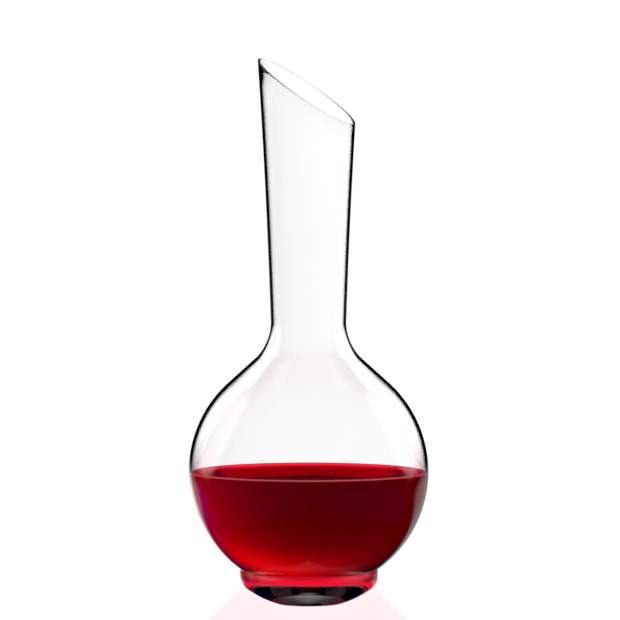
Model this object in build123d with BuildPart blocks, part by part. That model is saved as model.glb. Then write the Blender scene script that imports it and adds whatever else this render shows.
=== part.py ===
from build123d import *
import os
from math import cos, radians, sin, sqrt, tan

# A blown glass wine decanter: a round bulb drawn up into a long flared neck that is cut off on a slant,
# a solid glass foot fused under the bulb, and one 750 mL bottle of wine inside.
# The axis is Z, the table is z = 0, and the low lip that pours is on the +X side.

os.makedirs("parts", exist_ok=True)

# Driving dimensions, mm
bulb_radius = 73.2  # outside of the blown sphere
bulb_centre = 80.5  # height of the sphere's centre above the table
wall = 1.7  # glass, even all over
shoulder_lean = 48  # degrees from the vertical, of the cone between the bulb and the neck
neck_root_radius = 22.6  # where the neck's line meets that cone, before it is rounded
neck_round = 28.7  # radius of the hollow curve at the neck's root
neck_top_radius = 31.1  # outside of the flared neck at the top of the blank
neck_bow = 0.86  # how far the neck's line bows in, which makes the flare open faster at the top
blank_top = 334  # height of the neck before the mouth is cut
mouth_height = 311.7  # where the slanted cut crosses the axis
mouth_slope = 34  # degrees from the horizontal
rim_round = 0.7  # fire-polished edges of the mouth
foot_radius = 42.3
contact_radius = 21  # flat ground ring that stands on the table
foot_heel = 11.8  # height of the corner between the foot's underside and its side, before it is rounded
foot_belly = 60  # radius of the swell of the underside
heel_round = 9.6  # radius of that corner
pontil_radius = 10  # ground hollow in the middle of the underside
pontil_depth = 1
wine_level = 79.5

lean = radians(shoulder_lean)
bowl_radius = bulb_radius - wall
wine_radius = sqrt(bowl_radius**2 - (bulb_centre - wine_level) ** 2)
foot_top = bulb_centre - sqrt(bulb_radius**2 - foot_radius**2)
mouth_plane = Plane((0, 0, mouth_height), z_dir=(sin(radians(mouth_slope)), 0, cos(radians(mouth_slope))))

# Bulb and neck: the outside is revolved as a solid, then the same outline set in by the wall is taken out.
# Above the sphere, a cone tangent to it runs up to the neck.
with BuildPart() as bowl_and_neck:
    for inset, mode in ((0, Mode.ADD), (wall, Mode.SUBTRACT)):
        sphere_radius = bulb_radius - inset
        root_radius = neck_root_radius - inset
        cone_foot = (sphere_radius * cos(lean), bulb_centre + sphere_radius * sin(lean))
        root = (root_radius, cone_foot[1] + (cone_foot[0] - root_radius) / tan(lean))
        top = (neck_top_radius - inset, blank_top)
        with BuildSketch(Plane.YZ):  # so the revolved faces' seam is clear of the lip's lowest point
            with BuildLine():
                ThreePointArc((0, bulb_centre - sphere_radius), (sphere_radius, bulb_centre), cone_foot)
                Line(cone_foot, root)
                SagittaArc(root, top, neck_bow)
                Polyline(top, (0, blank_top), (0, bulb_centre - sphere_radius))
            make_face()
            fillet(vertices().sort_by_distance(root)[0], neck_round + inset)
        revolve(axis=Axis.Z, mode=mode)
    split(bisect_by=mouth_plane, keep=Keep.BOTTOM)
    rim = faces().filter_by(Axis(mouth_plane.origin, mouth_plane.z_dir)).sort_by(Axis.Z)[-1]
    fillet(rim.edges(), rim_round)
bowl_and_neck.part.label = "bowl_and_neck"

# Foot: a thick dish of solid glass whose top is hollowed to the bulb's sphere.
with BuildPart() as foot:
    with BuildSketch(Plane.XZ):
        with BuildLine():
            ThreePointArc((0, pontil_depth), (pontil_radius / 2, pontil_depth * 3 / 4), (pontil_radius, 0))
            Line((pontil_radius, 0), (contact_radius, 0))
            RadiusArc((contact_radius, 0), (foot_radius, foot_heel), -foot_belly)
            Line((foot_radius, foot_heel), (foot_radius, foot_top))
            RadiusArc((foot_radius, foot_top), (0, bulb_centre - bulb_radius), bulb_radius)
            Line((0, bulb_centre - bulb_radius), (0, pontil_depth))
        make_face()
        fillet(vertices().sort_by_distance((foot_radius, foot_heel))[0], heel_round)
    revolve(axis=Axis.Z)
foot.part.label = "foot"

# Wine: it fills the bowl to just under the sphere's middle.
with BuildPart() as wine:
    with BuildSketch(Plane.XZ):
        with BuildLine():
            RadiusArc((0, bulb_centre - bowl_radius), (wine_radius, wine_level), -bowl_radius)
            Polyline((wine_radius, wine_level), (0, wine_level), (0, bulb_centre - bowl_radius))
        make_face()
    revolve(axis=Axis.Z)
wine.part.label = "wine"

for piece in (bowl_and_neck, foot, wine):
    export_step(piece.part, f"parts/{piece.part.label}.step")
    millilitres = piece.part.volume / 1000
    size = piece.part.bounding_box().size
    print(f"{piece.part.label}: {millilitres:.1f} mL of solid, {size.X:.1f} x {size.Y:.1f} x {size.Z:.1f} mm")
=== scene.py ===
import bpy
from math import asin, atan2, cos, degrees, exp, hypot, pi, radians, sin, sqrt, tan
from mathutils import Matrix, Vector


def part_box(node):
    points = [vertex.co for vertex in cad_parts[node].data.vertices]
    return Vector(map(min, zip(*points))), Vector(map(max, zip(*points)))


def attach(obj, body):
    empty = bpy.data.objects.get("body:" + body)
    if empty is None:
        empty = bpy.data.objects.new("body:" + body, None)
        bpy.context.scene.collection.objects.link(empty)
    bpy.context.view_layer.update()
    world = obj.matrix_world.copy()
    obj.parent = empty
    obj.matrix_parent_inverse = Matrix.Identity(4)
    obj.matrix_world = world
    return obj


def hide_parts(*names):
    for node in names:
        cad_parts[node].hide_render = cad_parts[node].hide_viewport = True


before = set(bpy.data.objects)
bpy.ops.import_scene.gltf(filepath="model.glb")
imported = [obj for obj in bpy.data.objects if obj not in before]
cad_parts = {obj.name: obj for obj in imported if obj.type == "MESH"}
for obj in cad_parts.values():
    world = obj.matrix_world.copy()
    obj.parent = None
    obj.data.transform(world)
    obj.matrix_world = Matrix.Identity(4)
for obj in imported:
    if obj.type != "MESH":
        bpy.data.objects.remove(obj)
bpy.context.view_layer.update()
mm = 0.001
profilePoints = 240  # round a full circle
print("frame loaded")

# sizes read from the frame
bowlLow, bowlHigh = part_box("bowl_and_neck")
footLow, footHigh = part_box("foot")
wineLow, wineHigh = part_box("wine")
bulbRadius = (bowlHigh.x - bowlLow.x) / 2
bulbCentre = bowlLow.z + bulbRadius
wallThickness = wineLow.z - bowlLow.z
wineLevel = wineHigh.z
footRadius = (footHigh.x - footLow.x) / 2


def clearSelection():
    bpy.ops.object.select_all(action="DESELECT")


def startProfile(name, radius, centreHeight, keepFrom, keepTo):
    # a circle standing in the XZ plane, cut down to the arc between two angles from level, in
    # degrees, with a little to spare so that a point at either angle stays
    spare = 0.1
    clearSelection()
    bpy.ops.mesh.primitive_circle_add(
        vertices=profilePoints,
        radius=radius,
        location=(0, 0, centreHeight),
        rotation=(pi / 2, 0, 0),
    )
    piece = bpy.context.object
    piece.name = name
    bpy.ops.object.transform_apply(location=True, rotation=True, scale=True)
    for v in piece.data.vertices:
        angle = degrees(atan2(v.co.z - centreHeight, v.co.x))
        v.select = angle < keepFrom - spare or angle > keepTo + spare
    for e in piece.data.edges:
        e.select = False
    bpy.ops.object.mode_set(mode="EDIT")
    bpy.ops.mesh.delete(type="VERT")
    bpy.ops.object.mode_set(mode="OBJECT")
    return piece


def selectPoint(piece, radius, height):
    # leaves only the profile's vertex nearest to a place selected
    bpy.ops.object.mode_set(mode="OBJECT")
    nearest = min(piece.data.vertices, key=lambda v: hypot(v.co.x - radius, v.co.z - height))
    for part in (piece.data.vertices, piece.data.edges):
        for item in part:
            item.select = False
    nearest.select = True
    bpy.ops.object.mode_set(mode="EDIT")
    return nearest.co.copy()


def drawTo(piece, start, points):
    # extrudes the profile on from its vertex at start, through each point (radius, height)
    here = selectPoint(piece, *start)
    for radius, height in points:
        there = Vector((radius, 0, height))
        bpy.ops.mesh.extrude_region_move(TRANSFORM_OT_translate={"value": there - here})
        here = there
    bpy.ops.object.mode_set(mode="OBJECT")


def roundCorner(piece, corner, offset, segments):
    selectPoint(piece, *corner)
    bpy.ops.mesh.bevel(offset=offset, offset_pct=0, segments=segments, affect="VERTICES")
    bpy.ops.object.mode_set(mode="OBJECT")


def spinProfile(piece, steps):
    bpy.ops.object.mode_set(mode="EDIT")
    bpy.ops.mesh.select_all(action="SELECT")
    bpy.ops.mesh.spin(steps=steps, angle=2 * pi, center=(0, 0, 0), axis=(0, 0, 1))
    bpy.ops.mesh.select_all(action="SELECT")
    bpy.ops.mesh.remove_doubles(threshold=0.01 * mm)
    bpy.ops.mesh.normals_make_consistent(inside=False)
    bpy.ops.object.mode_set(mode="OBJECT")


def applyModifiers(piece):
    clearSelection()
    piece.select_set(True)
    bpy.context.view_layer.objects.active = piece
    for modifier in list(piece.modifiers):
        bpy.ops.object.modifier_apply(modifier=modifier.name)


# the blown bulb, drawn up into the neck and cut off on a slant
glassBody = {
    "shoulderLean": 48,  # degrees from the vertical
    "neckRootRadius": 22.6 * mm,
    "neckRound": 28.7 * mm,
    "neckTopRadius": 31.1 * mm,
    "neckTopHeight": 334 * mm,
    "neckBow": 0.86 * mm,
    "mouthHeight": 311.7 * mm,  # where the slanted mouth crosses the axis
    "mouthSlope": 34,
    "slantStart": 200 * mm,  # below this height the rings of the neck stay level
    "rings": 52,
    "rootSegments": 16,
    "rimRound": 0.3 * mm,
    "rimSegments": 4,
    "rimAngle": 50,  # only edges sharper than this are rounded, in degrees
    "rimShare": 0.6,  # how thick the wall still is at the mouth
    "rimTaper": 8 * mm,  # over this height it thins
    "around": 180,
    "settle": 6,  # rounds of moving a slanted ring until its height and radius agree
}


def neckRadius(height, body):
    along = (height - body["neckRootHeight"]) / (body["neckTopHeight"] - body["neckRootHeight"])
    straight = body["neckRootRadius"] + along * (body["neckTopRadius"] - body["neckRootRadius"])
    return straight - 4 * body["neckBow"] * along * (1 - along)


def slantNeck(piece, body):
    # leans the rings more and more towards the mouth, and keeps each on the neck's own line
    slope = tan(radians(body["mouthSlope"]))
    for v in piece.data.vertices:
        rise = (v.co.z - body["slantStart"]) / (body["mouthHeight"] - body["slantStart"])
        if rise <= 0:
            continue
        level, side = v.co.z, v.co.x / hypot(v.co.x, v.co.y)
        for _ in range(body["settle"]):
            v.co.z = level - rise * slope * side * neckRadius(v.co.z, body)
        grow = neckRadius(v.co.z, body) / hypot(v.co.x, v.co.y)
        v.co.x, v.co.y = v.co.x * grow, v.co.y * grow


def thinRim(piece, body):
    slope = tan(radians(body["mouthSlope"]))
    share = piece.vertex_groups.new(name="wallShare")
    for v in piece.data.vertices:
        below = body["mouthHeight"] - slope * v.co.x - v.co.z
        thick = min(1, max(0, below / body["rimTaper"]))
        share.add([v.index], body["rimShare"] + (1 - body["rimShare"]) * thick, "REPLACE")
    return share.name


def makeGlassBody(body):
    lean = radians(body["shoulderLean"])
    coneFoot = (bulbRadius * cos(lean), bulbCentre + bulbRadius * sin(lean))
    rootHeight = coneFoot[1] + (coneFoot[0] - body["neckRootRadius"]) / tan(lean)
    body["neckRootHeight"] = rootHeight
    root = (body["neckRootRadius"], rootHeight)
    piece = startProfile("blown_body", bulbRadius, bulbCentre, -90, body["shoulderLean"])
    neckLength = body["mouthHeight"] - rootHeight
    rounding = body["neckRound"] * tan(lean / 2)
    firstRun = rounding * 1.1 / neckLength  # just clear of the rounded corner
    shares = [firstRun + (1 - firstRun) * i / body["rings"] for i in range(body["rings"] + 1)]
    heights = [rootHeight + share * neckLength for share in shares]
    drawTo(piece, coneFoot, [root] + [(neckRadius(z, body), z) for z in heights])
    roundCorner(piece, root, rounding, body["rootSegments"])
    spinProfile(piece, body["around"])
    slantNeck(piece, body)
    wall = piece.modifiers.new("wall", "SOLIDIFY")
    wall.thickness, wall.offset, wall.use_even_offset = wallThickness, -1, True
    wall.vertex_group = thinRim(piece, body)
    rim = piece.modifiers.new("firePolish", "BEVEL")
    rim.width, rim.segments = body["rimRound"], body["rimSegments"]
    rim.limit_method, rim.angle_limit = "ANGLE", radians(body["rimAngle"])
    applyModifiers(piece)
    piece.vertex_groups.clear()
    bpy.ops.object.shade_smooth()
    return piece


# the solid foot under the bulb
glassFoot = {
    "contactRadius": 21 * mm,
    "heelHeight": 11.8 * mm,  # of the corner between underside and side, before it is rounded
    "heelRound": 9.6 * mm,
    "bellyRadius": 60 * mm,
    "pontilRadius": 10 * mm,
    "pontilDepth": 1 * mm,
    "weldDepth": 0.25 * mm,  # how far the foot's top is sunk into the bulb's wall
    "hollowReach": 31 * mm,  # inside this the foot only comes near the bulb
    "hollowGap": 0.35 * mm,
    "lipRound": 0.8 * mm,
    "lipSegments": 6,
    "heelSteps": 14,
    "bellySteps": 20,
    "pontilSteps": 8,
    "around": 192,
}


def arcPoints(centre, radius, fromAngle, toAngle, steps):
    turns = [radians(fromAngle + (toAngle - fromAngle) * i / steps) for i in range(steps + 1)]
    return [(centre[0] + radius * cos(t), centre[1] + radius * sin(t)) for t in turns]


def footUnderside(foot):
    # from the side, round the heel and under the belly to the ground ring
    start, end = (foot["contactRadius"], 0), (footRadius, foot["heelHeight"])
    chord = hypot(end[0] - start[0], end[1] - start[1])
    lift = sqrt(foot["bellyRadius"] ** 2 - chord**2 / 4) / chord
    belly = (
        (start[0] + end[0]) / 2 - (end[1] - start[1]) * lift,
        (start[1] + end[1]) / 2 + (end[0] - start[0]) * lift,
    )
    heelReach = foot["bellyRadius"] - foot["heelRound"]
    heelX = footRadius - foot["heelRound"]
    heel = (heelX, belly[1] - sqrt(heelReach**2 - (heelX - belly[0]) ** 2))
    tangent = degrees(atan2(heel[1] - belly[1], heel[0] - belly[0]))
    ringAngle = degrees(atan2(start[1] - belly[1], start[0] - belly[0]))
    heelArc = arcPoints(heel, foot["heelRound"], 0, tangent, foot["heelSteps"])
    bellyArc = arcPoints(belly, foot["bellyRadius"], tangent, ringAngle, foot["bellySteps"])
    return heelArc + bellyArc[1:]


def makeFoot(foot):
    seat = bulbRadius - foot["weldDepth"]
    edgeAngle = -degrees(asin(sqrt(1 - (footRadius / seat) ** 2)))
    piece = startProfile("solid_foot", seat, bulbCentre, -90, edgeAngle - 1)
    lipHeight = bulbCentre - sqrt(seat**2 - footRadius**2)
    drop = (bulbRadius + foot["hollowGap"]) / seat
    for v in piece.data.vertices:
        if v.co.x < foot["hollowReach"]:
            v.co.x, v.co.z = v.co.x * drop, bulbCentre + (v.co.z - bulbCentre) * drop
    last = max(piece.data.vertices, key=lambda v: v.co.x).co
    shares = [1 - i / foot["pontilSteps"] for i in range(foot["pontilSteps"] + 1)]
    hollow = [(foot["pontilRadius"] * t, foot["pontilDepth"] * (1 - t * t)) for t in shares]
    outline = [(footRadius, lipHeight)] + footUnderside(foot) + hollow
    drawTo(piece, (last.x, last.z), outline)
    roundCorner(piece, (footRadius, lipHeight), foot["lipRound"], foot["lipSegments"])
    spinProfile(piece, foot["around"])
    bpy.ops.object.shade_smooth()
    return piece


# the wine, one bottle of it
wineFill = {
    "overlap": 0.3 * mm,  # its side is sunk this far into the wall, so that no film of air shows
    "creep": 1.3 * mm,  # how far the liquid climbs the wall
    "creepWidth": 1.6 * mm,
    "ringsInward": (0.3, 0.7, 1.2, 1.8, 2.6, 3.6, 5, 7, 10, 20, 35, 50, 60),  # mm from the wall
    "around": 180,
}


def makeWine(wine):
    inner = bulbRadius - wallThickness
    outer = inner + wine["overlap"]
    edgeHeight = wineLevel + wine["creep"]
    edgeAngle = degrees(asin((edgeHeight - bulbCentre) / outer))
    piece = startProfile("red_wine", outer, bulbCentre, -90, edgeAngle)
    last = max(piece.data.vertices, key=lambda v: v.co.z).co
    reach = inner * cos(radians(edgeAngle))
    surface = [(sqrt(outer**2 - (edgeHeight - bulbCentre) ** 2), edgeHeight), (reach, edgeHeight)]
    for inward in wine["ringsInward"]:
        climb = wine["creep"] * exp(-inward * mm / wine["creepWidth"])
        surface.append((reach - inward * mm, wineLevel + climb))
    drawTo(piece, (last.x, last.z), surface + [(0, wineLevel)])
    spinProfile(piece, wine["around"])
    bpy.ops.object.shade_smooth()
    return piece


body = makeGlassBody(glassBody)
print("bulb and neck blown:", len(body.data.polygons), "faces")
foot = makeFoot(glassFoot)
print("foot made:", len(foot.data.polygons), "faces")
wine = makeWine(wineFill)
print("wine poured:", len(wine.data.polygons), "faces")


def toLinear(hexColour):
    channels = [int(hexColour[i:i + 2], 16) / 255 for i in (1, 3, 5)]
    return tuple(
        c / 12.92 if c <= 0.04045 else ((c + 0.055) / 1.055) ** 2.4 for c in channels
    ) + (1,)


def addNode(tree, kind, inputs=None, stops=None, **settings):
    # adds a node; an input is given by its name or number, as a value, a hex colour or the socket
    # that feeds it, and a ramp's stops as (place, hex colour)
    node = tree.nodes.new("ShaderNode" + kind)
    for name, value in settings.items():
        setattr(node, name, value)
    for name, value in (inputs or {}).items():
        if isinstance(value, bpy.types.NodeSocket):
            tree.links.new(value, node.inputs[name])
        else:
            node.inputs[name].default_value = toLinear(value) if isinstance(value, str) else value
    for i, (place, colour) in enumerate(stops or ()):
        if i > 1:
            node.color_ramp.elements.new(1)
        element = node.color_ramp.elements[i]
        element.position, element.color = place, toLinear(colour)
    return node


def newMaterial(name):
    material = bpy.data.materials.new(name)
    material.use_nodes = True
    material.node_tree.nodes.clear()
    return material


def coverFaces(piece, material, chosen=lambda face: True):
    # gives a material to the faces that pass the test
    piece.data.materials.append(material)
    slot = len(piece.data.materials) - 1
    for face in piece.data.polygons:
        if chosen(face):
            face.material_index = slot


def axisDistance(face):
    return hypot(face.center.x, face.center.y)


def centreDistance(face):
    return hypot(axisDistance(face), face.center.z - bulbCentre)


# Blown crystal glass, fire-finished: colourless and quite smooth, with the slow waves of a wall
# that was never in a mould, which make the things behind it and mirrored in it swim a little.
blownFinish = {
    "ior": 1.52,
    "clear": "#FFFFFF",
    "cast": "#FEFEFE",  # where the wall is a shade thicker
    "waveLength": 38 * mm,
    "waveHeight": 0.02 * mm,
}


def makeBlownGlass(finish):
    material = newMaterial("crystalBlown")
    tree = material.node_tree
    place = addNode(tree, "TexCoord").outputs["Object"]
    waves = addNode(tree, "TexNoise", {
        "Vector": place, "Scale": 1 / finish["waveLength"], "Detail": 1, "Roughness": 0.3,
    }).outputs["Fac"]
    tint = addNode(
        tree, "ValToRGB", {0: waves}, stops=((0.35, finish["clear"]), (0.7, finish["cast"]))
    )
    swell = addNode(tree, "Bump", {
        "Height": waves, "Distance": finish["waveHeight"], "Strength": 1,
    })
    shader = addNode(tree, "BsdfPrincipled", {
        "Base Color": tint.outputs[0], "Roughness": 0, "IOR": finish["ior"],
        "Transmission Weight": 1, "Normal": swell.outputs[0],
    })
    addNode(tree, "OutputMaterial", {"Surface": shader.outputs[0]})
    return material


# The mouth's edge, cut and then melted round, its glass tinted grey: painted shade, so that it
# shows as a soft grey line, with a little unevenness left from the cut.
rimPaintedShadeFinish = {
    # painted shade: the grey of the edge's line
    "thin": "#9A9C9C", "thick": "#7E8080", "roughness": 0.2, "cutLength": 3 * mm,
}


def makeRimPaintedShade(finish):
    material = newMaterial("crystalRimPaintedShade")
    tree = material.node_tree
    place = addNode(tree, "TexCoord").outputs["Object"]
    cut = addNode(tree, "TexNoise", {"Vector": place, "Scale": 1 / finish["cutLength"]})
    # the grey tint is painted shade, lighter and darker at random
    tint = addNode(
        tree, "ValToRGB", {0: cut.outputs["Fac"]},
        stops=((0.3, finish["thin"]), (0.7, finish["thick"])),
    )
    shader = addNode(tree, "BsdfPrincipled", {
        "Base Color": tint.outputs[0], "Roughness": finish["roughness"],
        "IOR": blownFinish["ior"], "Transmission Weight": 1,
    })
    addNode(tree, "OutputMaterial", {"Surface": shader.outputs[0]})
    return material


# The inside of the wall where the wine touches it: with liquid against it the glass loses its
# shine there, and only bends the light.
def makeWettedGlass():
    material = newMaterial("crystalWetted")
    tree = material.node_tree
    shader = addNode(tree, "BsdfRefraction", {
        "Color": blownFinish["clear"], "Roughness": 0, "IOR": blownFinish["ior"],
    })
    addNode(tree, "OutputMaterial", {"Surface": shader.outputs[0]})
    return material


# Gathered crystal glass, tooled to shape while hot: thicker, with shorter ripples left by the
# tool and a few seeds of air, and a ring on the bottom that was ground flat and stays matt.
footFinish = {
    "ior": 1.52,
    "clear": "#FFFFFF",
    "cast": "#FAFBFB",
    "rippleLength": 9 * mm,
    "rippleHeight": 0.012 * mm,
    "seedSpacing": 7 * mm,
    "seedSize": 0.05,  # share of the spacing
    "groundTop": 0.25 * mm,  # the ring's grinding reaches up to this height
    "groundRoughness": 0.3,
}


def makeFootGlass(finish):
    material = newMaterial("crystalTooled")
    tree = material.node_tree
    place = addNode(tree, "TexCoord").outputs["Object"]
    ripples = addNode(tree, "TexNoise", {
        "Vector": place, "Scale": 1 / finish["rippleLength"], "Detail": 2,
    }).outputs["Fac"]
    seeds = addNode(tree, "TexVoronoi", {"Vector": place, "Scale": 1 / finish["seedSpacing"]})
    seed = addNode(tree, "MapRange", {
        0: seeds.outputs["Distance"], 1: 0.0, 2: finish["seedSize"], 3: 1.0, 4: 0.0,
    })
    height = addNode(tree, "Math", {0: ripples, 1: seed.outputs[0]}, operation="ADD")
    tint = addNode(
        tree, "ValToRGB", {0: ripples}, stops=((0.35, finish["clear"]), (0.7, finish["cast"]))
    )
    up = addNode(tree, "SeparateXYZ", {0: place}).outputs[2]
    ground = addNode(tree, "MapRange", {
        0: up, 1: 0.0, 2: finish["groundTop"], 3: finish["groundRoughness"], 4: 0.0,
    })
    swell = addNode(tree, "Bump", {
        "Height": height.outputs[0], "Distance": finish["rippleHeight"], "Strength": 1,
    })
    shader = addNode(tree, "BsdfPrincipled", {
        "Base Color": tint.outputs[0], "Roughness": ground.outputs[0], "IOR": finish["ior"],
        "Transmission Weight": 1, "Normal": swell.outputs[0],
    })
    addNode(tree, "OutputMaterial", {"Surface": shader.outputs[0]})
    return material


# Where foot and bulb are fused, an opaque red ring with a painted glow stands in for the wine
# seen through the foot, strongest at the inner edge. Seen at a slant the joint is clear.
seamPaintedGlowFinish = {
    # painted: an opaque red and a glow in place of the wine's light seen through the foot
    "glass": "#B00018",
    "glowInner": "#D80020",
    "glowOuter": "#3A0008",
    "strength": 0.75,
    "ior": 1.34,
    "roughness": 0.3,
    "solidFacing": 0.6,  # how squarely it is seen where it is all there
    "clearFacing": 0.78,  # and where it is gone
    "outerReach": footRadius - 0.8 * mm,
}


def makeSeamPaintedGlow(finish):
    material = newMaterial("crystalSeamPaintedGlow")
    tree = material.node_tree
    facing = addNode(tree, "LayerWeight", {"Blend": 0.5})
    cover = addNode(tree, "MapRange", {
        0: facing.outputs["Facing"], 1: finish["solidFacing"], 2: finish["clearFacing"],
        3: 1.0, 4: 0.0,
    })
    place = addNode(tree, "TexCoord").outputs["Object"]
    flat = addNode(tree, "VectorMath", {0: place, 1: (1, 1, 0)}, operation="MULTIPLY")
    reach = addNode(tree, "VectorMath", {0: flat.outputs[0]}, operation="LENGTH")
    share = addNode(tree, "MapRange", {
        0: reach.outputs["Value"], 1: glassFoot["hollowReach"], 2: finish["outerReach"],
        3: 0.0, 4: 1.0,
    })
    # the painted glow, strongest at the inner edge
    glow = addNode(
        tree, "ValToRGB", {0: share.outputs[0]},
        stops=((0, finish["glowInner"]), (1, finish["glowOuter"])),
    )
    shader = addNode(tree, "BsdfPrincipled", {
        "Base Color": finish["glass"], "Roughness": finish["roughness"], "IOR": finish["ior"],
        "Alpha": cover.outputs[0], "Emission Color": glow.outputs[0],
        "Emission Strength": finish["strength"],
    })
    addNode(tree, "OutputMaterial", {"Surface": shader.outputs[0]})
    return material


# the foot's own side of the joint, which is no surface at all once it is fused
def makeClearSeam():
    material = newMaterial("crystalFusedClear")
    tree = material.node_tree
    shader = addNode(tree, "BsdfPrincipled", {
        "Alpha": 0, "Transmission Weight": 1, "IOR": footFinish["ior"],
    })
    addNode(tree, "OutputMaterial", {"Surface": shader.outputs[0]})
    return material


# Red wine, clear and deep: black-red where it is thick, ruby where light comes through less of
# it. Its top has a painted glow, brightest near the wall, where the surface curls up, with a pale
# painted highlight right at the curl, and it mirrors the room in red. Where it climbs the wall
# its side has a pale painted highlight.
wineFinish = {
    "ior": 1.34,
    "tint": "#FF2038",
    "absorption": "#F700BF",
    "density": 255,  # per metre
    "throughTop": "#FF617B",
    "mirrored": "#FF2034",
    # painted glow on the top, standing in for light; the pale last stop is a painted highlight
    "glow": (
        (0, "#240008"), (0.35, "#520010"), (0.6, "#660014"), (0.8, "#6E0018"),
        (0.93, "#C80028"), (0.965, "#7A4650"),
    ),  # by share of the bulb's radius
    "rippleLength": 30 * mm,
    "rippleHeight": 0.004 * mm,
    # painted highlight: a pale glow on the thin wine that climbs the wall
    "paintedFilmHighlight": "#B08088",  # the thin wine that climbs the wall
    "paintedFilmHighlightStrength": 0.3,
    "filmBottom": 0.1 * mm,  # above the wine's level
    "filmFull": 0.6 * mm,
}


def makeWineSide(finish):
    material = newMaterial("wineAgainstGlass")
    tree = material.node_tree
    place = addNode(tree, "TexCoord").outputs["Object"]
    up = addNode(tree, "SeparateXYZ", {0: place}).outputs[2]
    # painted highlight, rising from just above the wine's level
    paintedFilmHighlight = addNode(tree, "MapRange", {
        0: up, 1: wineLevel + finish["filmBottom"], 2: wineLevel + finish["filmFull"],
        3: 0.0, 4: finish["paintedFilmHighlightStrength"],
    })
    shader = addNode(tree, "BsdfPrincipled", {
        "Base Color": finish["tint"], "Roughness": 0, "IOR": finish["ior"],
        "Transmission Weight": 1, "Emission Color": finish["paintedFilmHighlight"],
        "Emission Strength": paintedFilmHighlight.outputs[0],
    })
    depth = addNode(tree, "VolumeAbsorption", {
        "Color": finish["absorption"], "Density": finish["density"],
    })
    addNode(tree, "OutputMaterial", {"Surface": shader.outputs[0], "Volume": depth.outputs[0]})
    return material


def makeWineTop(finish):
    material = newMaterial("wineStillSurfacePaintedGlow")
    tree = material.node_tree
    place = addNode(tree, "TexCoord").outputs["Object"]
    flat = addNode(tree, "VectorMath", {0: place, 1: (1, 1, 0)}, operation="MULTIPLY")
    reach = addNode(tree, "VectorMath", {0: flat.outputs[0]}, operation="LENGTH")
    share = addNode(tree, "Math", {0: reach.outputs["Value"], 1: bulbRadius}, operation="DIVIDE")
    glow = addNode(tree, "ValToRGB", {0: share.outputs[0]}, stops=finish["glow"])
    ripples = addNode(tree, "TexNoise", {
        "Vector": place, "Scale": 1 / finish["rippleLength"], "Detail": 1,
    })
    swell = addNode(tree, "Bump", {
        "Height": ripples.outputs["Fac"], "Distance": finish["rippleHeight"], "Strength": 1,
    }).outputs[0]
    bent = addNode(tree, "BsdfRefraction", {
        "Color": finish["throughTop"], "Roughness": 0, "IOR": finish["ior"], "Normal": swell,
    })
    mirror = addNode(tree, "BsdfGlossy", {
        "Color": finish["mirrored"], "Roughness": 0, "Normal": swell,
    })
    split = addNode(tree, "Fresnel", {"IOR": finish["ior"], "Normal": swell})
    liquid = addNode(tree, "MixShader", {
        0: split.outputs[0], 1: bent.outputs[0], 2: mirror.outputs[0],
    })
    # the painted glow
    light = addNode(tree, "Emission", {"Color": glow.outputs[0], "Strength": 1})
    shader = addNode(tree, "AddShader", {0: liquid.outputs[0], 1: light.outputs[0]})
    depth = addNode(tree, "VolumeAbsorption", {
        "Color": finish["absorption"], "Density": finish["density"],
    })
    addNode(tree, "OutputMaterial", {"Surface": shader.outputs[0], "Volume": depth.outputs[0]})
    return material


near = 0.2 * mm  # how close to a sphere a face's middle is to count as on it


def onMouth(face):
    slope = tan(radians(glassBody["mouthSlope"]))
    return face.center.z + slope * face.center.x > glassBody["mouthHeight"] - 0.6 * mm


def underWine(face):
    inside = abs(centreDistance(face) - bulbRadius + wallThickness) < near
    return inside and face.center.z < wineLevel


def onSeam(face, seat):
    # on the bulb's sphere, or on the foot's top, between the hollow and the foot's lip
    between = glassFoot["hollowReach"] < axisDistance(face) < seamPaintedGlowFinish["outerReach"]
    return between and face.center.z < bulbCentre and abs(centreDistance(face) - seat) < near / 2


def onWineTop(face):
    return face.normal.z > 0.5 and axisDistance(face) < bulbRadius - wallThickness - 0.05 * mm


coverFaces(body, makeBlownGlass(blownFinish))
coverFaces(body, makeRimPaintedShade(rimPaintedShadeFinish), onMouth)
coverFaces(body, makeSeamPaintedGlow(seamPaintedGlowFinish), lambda face: onSeam(face, bulbRadius))
coverFaces(body, makeWettedGlass(), underWine)
coverFaces(foot, makeFootGlass(footFinish))
coverFaces(foot, makeClearSeam(), lambda face: onSeam(face, bulbRadius - glassFoot["weldDepth"]))
coverFaces(wine, makeWineSide(wineFinish))
coverFaces(wine, makeWineTop(wineFinish), onWineTop)
for piece, node, slot in (
    (body, "bowl_and_neck", "clear_glass"),
    (foot, "foot", "foot_glass"),
    (wine, "wine", "red_wine"),
):
    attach(piece, "root")
    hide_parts(node)
print("finishes on")

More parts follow.
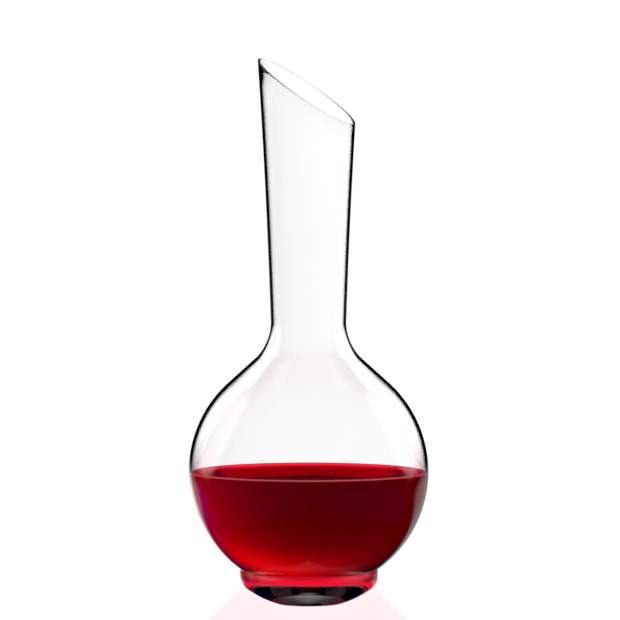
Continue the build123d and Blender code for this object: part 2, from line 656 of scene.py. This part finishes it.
# Each panel of light is (brightness, direction, height, width, depth, edge): where its middle
# stands, in degrees to the right of straight behind the decanter and up from level, how far it
# reaches each way, and how hard its edge is. A negative brightness is a black flag in front.
studio = {
    "turn": 17.3,  # which way the camera looks, in degrees round the axis
    "white": "#FFFFFF",
    "backdrop": 1.02,
    "behind": 1.13,
    "behindPanels": (  # seen through the glass
        (4.73, 17.5, 29.9, 27.3, 9.9, 1),
        (1.46, 43.4, 8.3, 28.2, 15.6, 1),
        (-0.38, -38, 40, 31, 71, 1),
        (-0.55, 0, 52, 75, 16, 3),
        (0.35, 0, -40, 400, 24, 4),
    ),
    "gleamPanels": (  # mirrored on the outside
        (1.4, -13, -11.5, 17, 7.8, 4),
        (0.5, -22, -11.5, 22, 7.8, 4),
        (0.45, 22, -11.5, 28, 7.8, 4),
        (4.0, 0, 68, 60, 12, 3),
        (0.75, 66, 22, 21, 26.5, 6),
        (0.75, -66, 22, 21, 26.5, 6),
        (0.75, 35, 31, 12, 28, 6),
        (0.75, -35, 31, 12, 28, 6),
    ),
    "innerPanels": (  # mirrored inside the near wall
        (1.1, 60, 22, 29, 26.5, 8),
        (1.1, -60, 22, 29, 26.5, 8),
        (1.1, 35, 28, 12, 28, 6),
        (1.1, -35, 28, 12, 28, 6),
        (0.5, 0, -66, 40, 30, 4),
    ),
    "cavityPanels": (  # mirrored in the hollow of the bulb and neck
        (1.0, 0, -4, 75, 62, 6),
        (-1.1, 0, 5, 14, 14, 4),
    ),
    "deepPanels": (  # mirrored after going through many walls
        (2.0, 0, 75, 180, 40, 4),
        (1.1, 0, -4, 75, 50, 6),
        (-1.1, 0, 5, 14, 14, 4),
    ),
    "violetPanels": (  # a faint coloured light from low down, on the outside only
        (0.09, -120, -22, 135, 17, 6),
        (0.09, 120, -22, 60, 17, 6),
        (0.03, 0, -68, 400, 29, 6),
        (0.35, -47, -15, 10, 8, 2),
    ),
    "violet": "#4A00FF",
    "nearWall": 2.5,  # surfaces a ray goes through before it counts as past the near wall
    "manyWalls": 4.5,
}


def addPanels(tree, direction, ground, panels):
    total = ground
    for brightness, across, up, width, height, edge in panels:
        away = addNode(
            tree, "VectorMath", {0: direction, 1: (across, up, 0)}, operation="SUBTRACT"
        ).outputs[0]
        scaled = addNode(
            tree, "VectorMath", {0: away, 1: (width, height, 1)}, operation="DIVIDE"
        ).outputs[0]
        square = addNode(
            tree, "VectorMath", {0: scaled, 1: scaled}, operation="DOT_PRODUCT"
        ).outputs["Value"]
        hard = addNode(tree, "Math", {0: square, 1: edge}, operation="POWER").outputs[0]
        fall = addNode(tree, "Math", {0: exp(-1), 1: hard}, operation="POWER").outputs[0]
        total = addNode(
            tree, "Math", {0: fall, 1: brightness, 2: total}, operation="MULTIPLY_ADD"
        ).outputs[0]
    return total


def makeStudio(light):
    world = bpy.data.worlds.new("studio")
    bpy.context.scene.world = world
    world.use_nodes = True
    tree = world.node_tree
    tree.nodes.clear()
    place = addNode(tree, "TexCoord").outputs["Generated"]
    turned = addNode(
        tree, "VectorRotate", {"Vector": place, "Angle": -radians(light["turn"])},
        rotation_type="Z_AXIS",
    )
    axes = addNode(tree, "SeparateXYZ", {0: turned.outputs[0]})
    across = addNode(tree, "Math", {0: axes.outputs[0], 1: axes.outputs[1]}, operation="ARCTAN2")
    up = addNode(tree, "Math", {0: axes.outputs[2]}, operation="ARCSINE")
    angles = addNode(tree, "CombineXYZ", {0: across.outputs[0], 1: up.outputs[0]})
    direction = addNode(
        tree, "VectorMath", {0: angles.outputs[0], "Scale": 180 / pi}, operation="SCALE"
    ).outputs[0]
    behind = addPanels(tree, direction, light["behind"], light["behindPanels"])
    gleam = addPanels(tree, direction, 0.0, light["gleamPanels"])
    inner = addPanels(tree, direction, 0.0, light["innerPanels"])
    cavity = addPanels(tree, direction, 0.0, light["cavityPanels"])
    deep = addPanels(tree, direction, 0.0, light["deepPanels"])
    violet = addPanels(tree, direction, 0.0, light["violetPanels"])
    path = addNode(tree, "LightPath")
    passes, mirrors = path.outputs["Transmission Depth"], path.outputs["Glossy Depth"]
    through = addNode(tree, "Math", {0: passes, 1: 0.5}, operation="GREATER_THAN").outputs[0]
    mirrored = addNode(tree, "Math", {0: mirrors, 1: 0.5}, operation="GREATER_THAN").outputs[0]
    pastNearWall, pastMany = [
        addNode(tree, "Math", {0: passes, 1: light[limit]}, operation="GREATER_THAN").outputs[0]
        for limit in ("nearWall", "manyWalls")
    ]
    straight = addNode(tree, "Mix", {0: through, 2: light["backdrop"], 3: behind}).outputs[0]
    inner = addNode(tree, "Mix", {0: pastNearWall, 2: inner, 3: cavity}).outputs[0]
    inner = addNode(tree, "Mix", {0: pastMany, 2: inner, 3: deep}).outputs[0]
    bounced = addNode(tree, "Mix", {0: through, 2: gleam, 3: inner}).outputs[0]
    seen = addNode(tree, "Mix", {0: mirrored, 2: straight, 3: bounced}).outputs[0]
    notDiffuse = addNode(
        tree, "Math", {0: 1.0, 1: path.outputs["Is Diffuse Ray"]}, operation="SUBTRACT"
    ).outputs[0]
    strength = addNode(tree, "Math", {0: seen, 1: notDiffuse}, operation="MULTIPLY").outputs[0]
    white = addNode(tree, "Background", {"Color": light["white"], "Strength": strength})
    notThrough = addNode(tree, "Math", {0: 1.0, 1: through}, operation="SUBTRACT").outputs[0]
    outside = addNode(tree, "Math", {0: mirrored, 1: notThrough}, operation="MULTIPLY").outputs[0]
    faint = addNode(tree, "Math", {0: outside, 1: violet}, operation="MULTIPLY").outputs[0]
    coloured = addNode(tree, "Background", {"Color": light["violet"], "Strength": faint})
    sky = addNode(tree, "AddShader", {0: white.outputs[0], 1: coloured.outputs[0]})
    addNode(tree, "OutputWorld", {"Surface": sky.outputs[0]})


makeStudio(studio)
print("studio lit")

# the table: a pale sheet with a faint rosy fan of painted shadow round the decanter, widening
# towards the camera, and painted light on it where it is seen through glass
table = {
    "radius": 0.4,
    "around": 128,
    "fanHalfWidth": 52 * mm,  # at the axis
    "fanSpread": -0.09,  # how fast the fan narrows away from the camera
    "fanBack": (0.13, 0.09),  # from nothing to full, along the camera's line
    "fanFront": (-0.22, -0.09),
    # painted shadow: rosy in the middle, greyer at its edge
    "paintedRosyShadow": ((0, "#FCEFF1"), (0.6, "#FDECEE"), (0.9, "#FBEFF1"), (0.95, "#F4F3F3"), (1, "#FFFFFF")),
    "glowStrength": 7.0,  # of the table seen through glass: painted light, dimmer under the foot, brightest in a ring round it
    "glow": (
        (0, "#898989"), (0.105, "#898989"), (0.16, "#CBCBCB"), (0.21, "#FFFFFF"),
        (0.34, "#C4C4C4"), (0.62, "#BCBCBC"), (1, "#8E8E8E"),
    ),  # by share of the radius
}


def makeTable(sheet):
    clearSelection()
    bpy.ops.mesh.primitive_circle_add(
        vertices=sheet["around"], radius=sheet["radius"], fill_type="NGON", location=(0, 0, 0)
    )
    floor = bpy.context.object
    floor.name = "floor"
    material = newMaterial("paperSheetPaintedLight")
    tree = material.node_tree
    place = addNode(tree, "TexCoord").outputs["Object"]
    turned = addNode(
        tree, "VectorRotate", {"Vector": place, "Angle": -radians(studio["turn"])},
        rotation_type="Z_AXIS",
    )
    axes = addNode(tree, "SeparateXYZ", {0: turned.outputs[0]})
    aside = addNode(tree, "Math", {0: axes.outputs[0]}, operation="ABSOLUTE").outputs[0]
    spread = addNode(
        tree, "Math", {0: axes.outputs[1], 1: sheet["fanSpread"], 2: sheet["fanHalfWidth"]},
        operation="MULTIPLY_ADD",
    ).outputs[0]
    share = addNode(tree, "Math", {0: aside, 1: spread}, operation="DIVIDE").outputs[0]
    # the painted rosy shadow
    paintedRosyShadow = addNode(tree, "ValToRGB", {0: share}, stops=sheet["paintedRosyShadow"]).outputs[0]
    fades = [
        addNode(
            tree, "MapRange", {0: axes.outputs[1], 1: start, 2: end, 3: 0.0, 4: 1.0},
            interpolation_type="SMOOTHSTEP",
        ).outputs[0]
        for start, end in (sheet["fanBack"], sheet["fanFront"])
    ]
    amount = addNode(tree, "Math", {0: fades[0], 1: fades[1]}, operation="MULTIPLY").outputs[0]
    tint = addNode(
        tree, "Mix", {0: amount, 6: studio["white"], 7: paintedRosyShadow}, data_type="RGBA"
    ).outputs[2]
    path = addNode(tree, "LightPath")
    through = addNode(
        tree, "Math", {0: path.outputs["Transmission Depth"], 1: 0.5}, operation="GREATER_THAN"
    )
    mirrored = addNode(
        tree, "Math", {0: path.outputs["Glossy Depth"], 1: 0.5}, operation="GREATER_THAN"
    )
    reach = addNode(tree, "VectorMath", {0: place}, operation="LENGTH").outputs["Value"]
    ring = addNode(tree, "Math", {0: reach, 1: sheet["radius"]}, operation="DIVIDE").outputs[0]
    # painted light and shade on the table, seen only through glass
    profile = addNode(tree, "ValToRGB", {0: ring}, stops=sheet["glow"])
    profile.color_ramp.interpolation = "EASE"
    glow = addNode(tree, "Emission", {
        "Color": profile.outputs[0], "Strength": sheet["glowStrength"],
    })
    lit = addNode(tree, "Emission", {"Color": tint, "Strength": studio["backdrop"]})
    nothing = addNode(tree, "BsdfTransparent")
    direct = addNode(tree, "MixShader", {
        0: through.outputs[0], 1: lit.outputs[0], 2: glow.outputs[0],
    })
    surface = addNode(tree, "MixShader", {
        0: mirrored.outputs[0], 1: direct.outputs[0], 2: nothing.outputs[0],
    })
    addNode(tree, "OutputMaterial", {"Surface": surface.outputs[0]})
    coverFaces(floor, material)


makeTable(table)
print("table laid")

cameraPlace = {
    "distance": 3.0,
    "height": 0.3087,
    "tilt": 2.47,  # downward, in degrees
    "lens": 285.8,  # mm, on a sensor 36 mm wide
    "sensor": 36,
    "aside": 0.0009,
}


def placeCamera(stand):
    turn = radians(studio["turn"])
    bpy.ops.object.camera_add(
        location=(
            stand["distance"] * sin(turn) + stand["aside"] * cos(turn),
            -stand["distance"] * cos(turn) + stand["aside"] * sin(turn),
            stand["height"],
        ),
        rotation=(radians(90 - stand["tilt"]), 0, turn),
    )
    camera = bpy.context.object
    camera.data.lens = stand["lens"]
    camera.data.sensor_width = stand["sensor"]
    bpy.context.scene.camera = camera
    bpy.context.scene.view_settings.view_transform = "Standard"


placeCamera(cameraPlace)
print("camera placed")
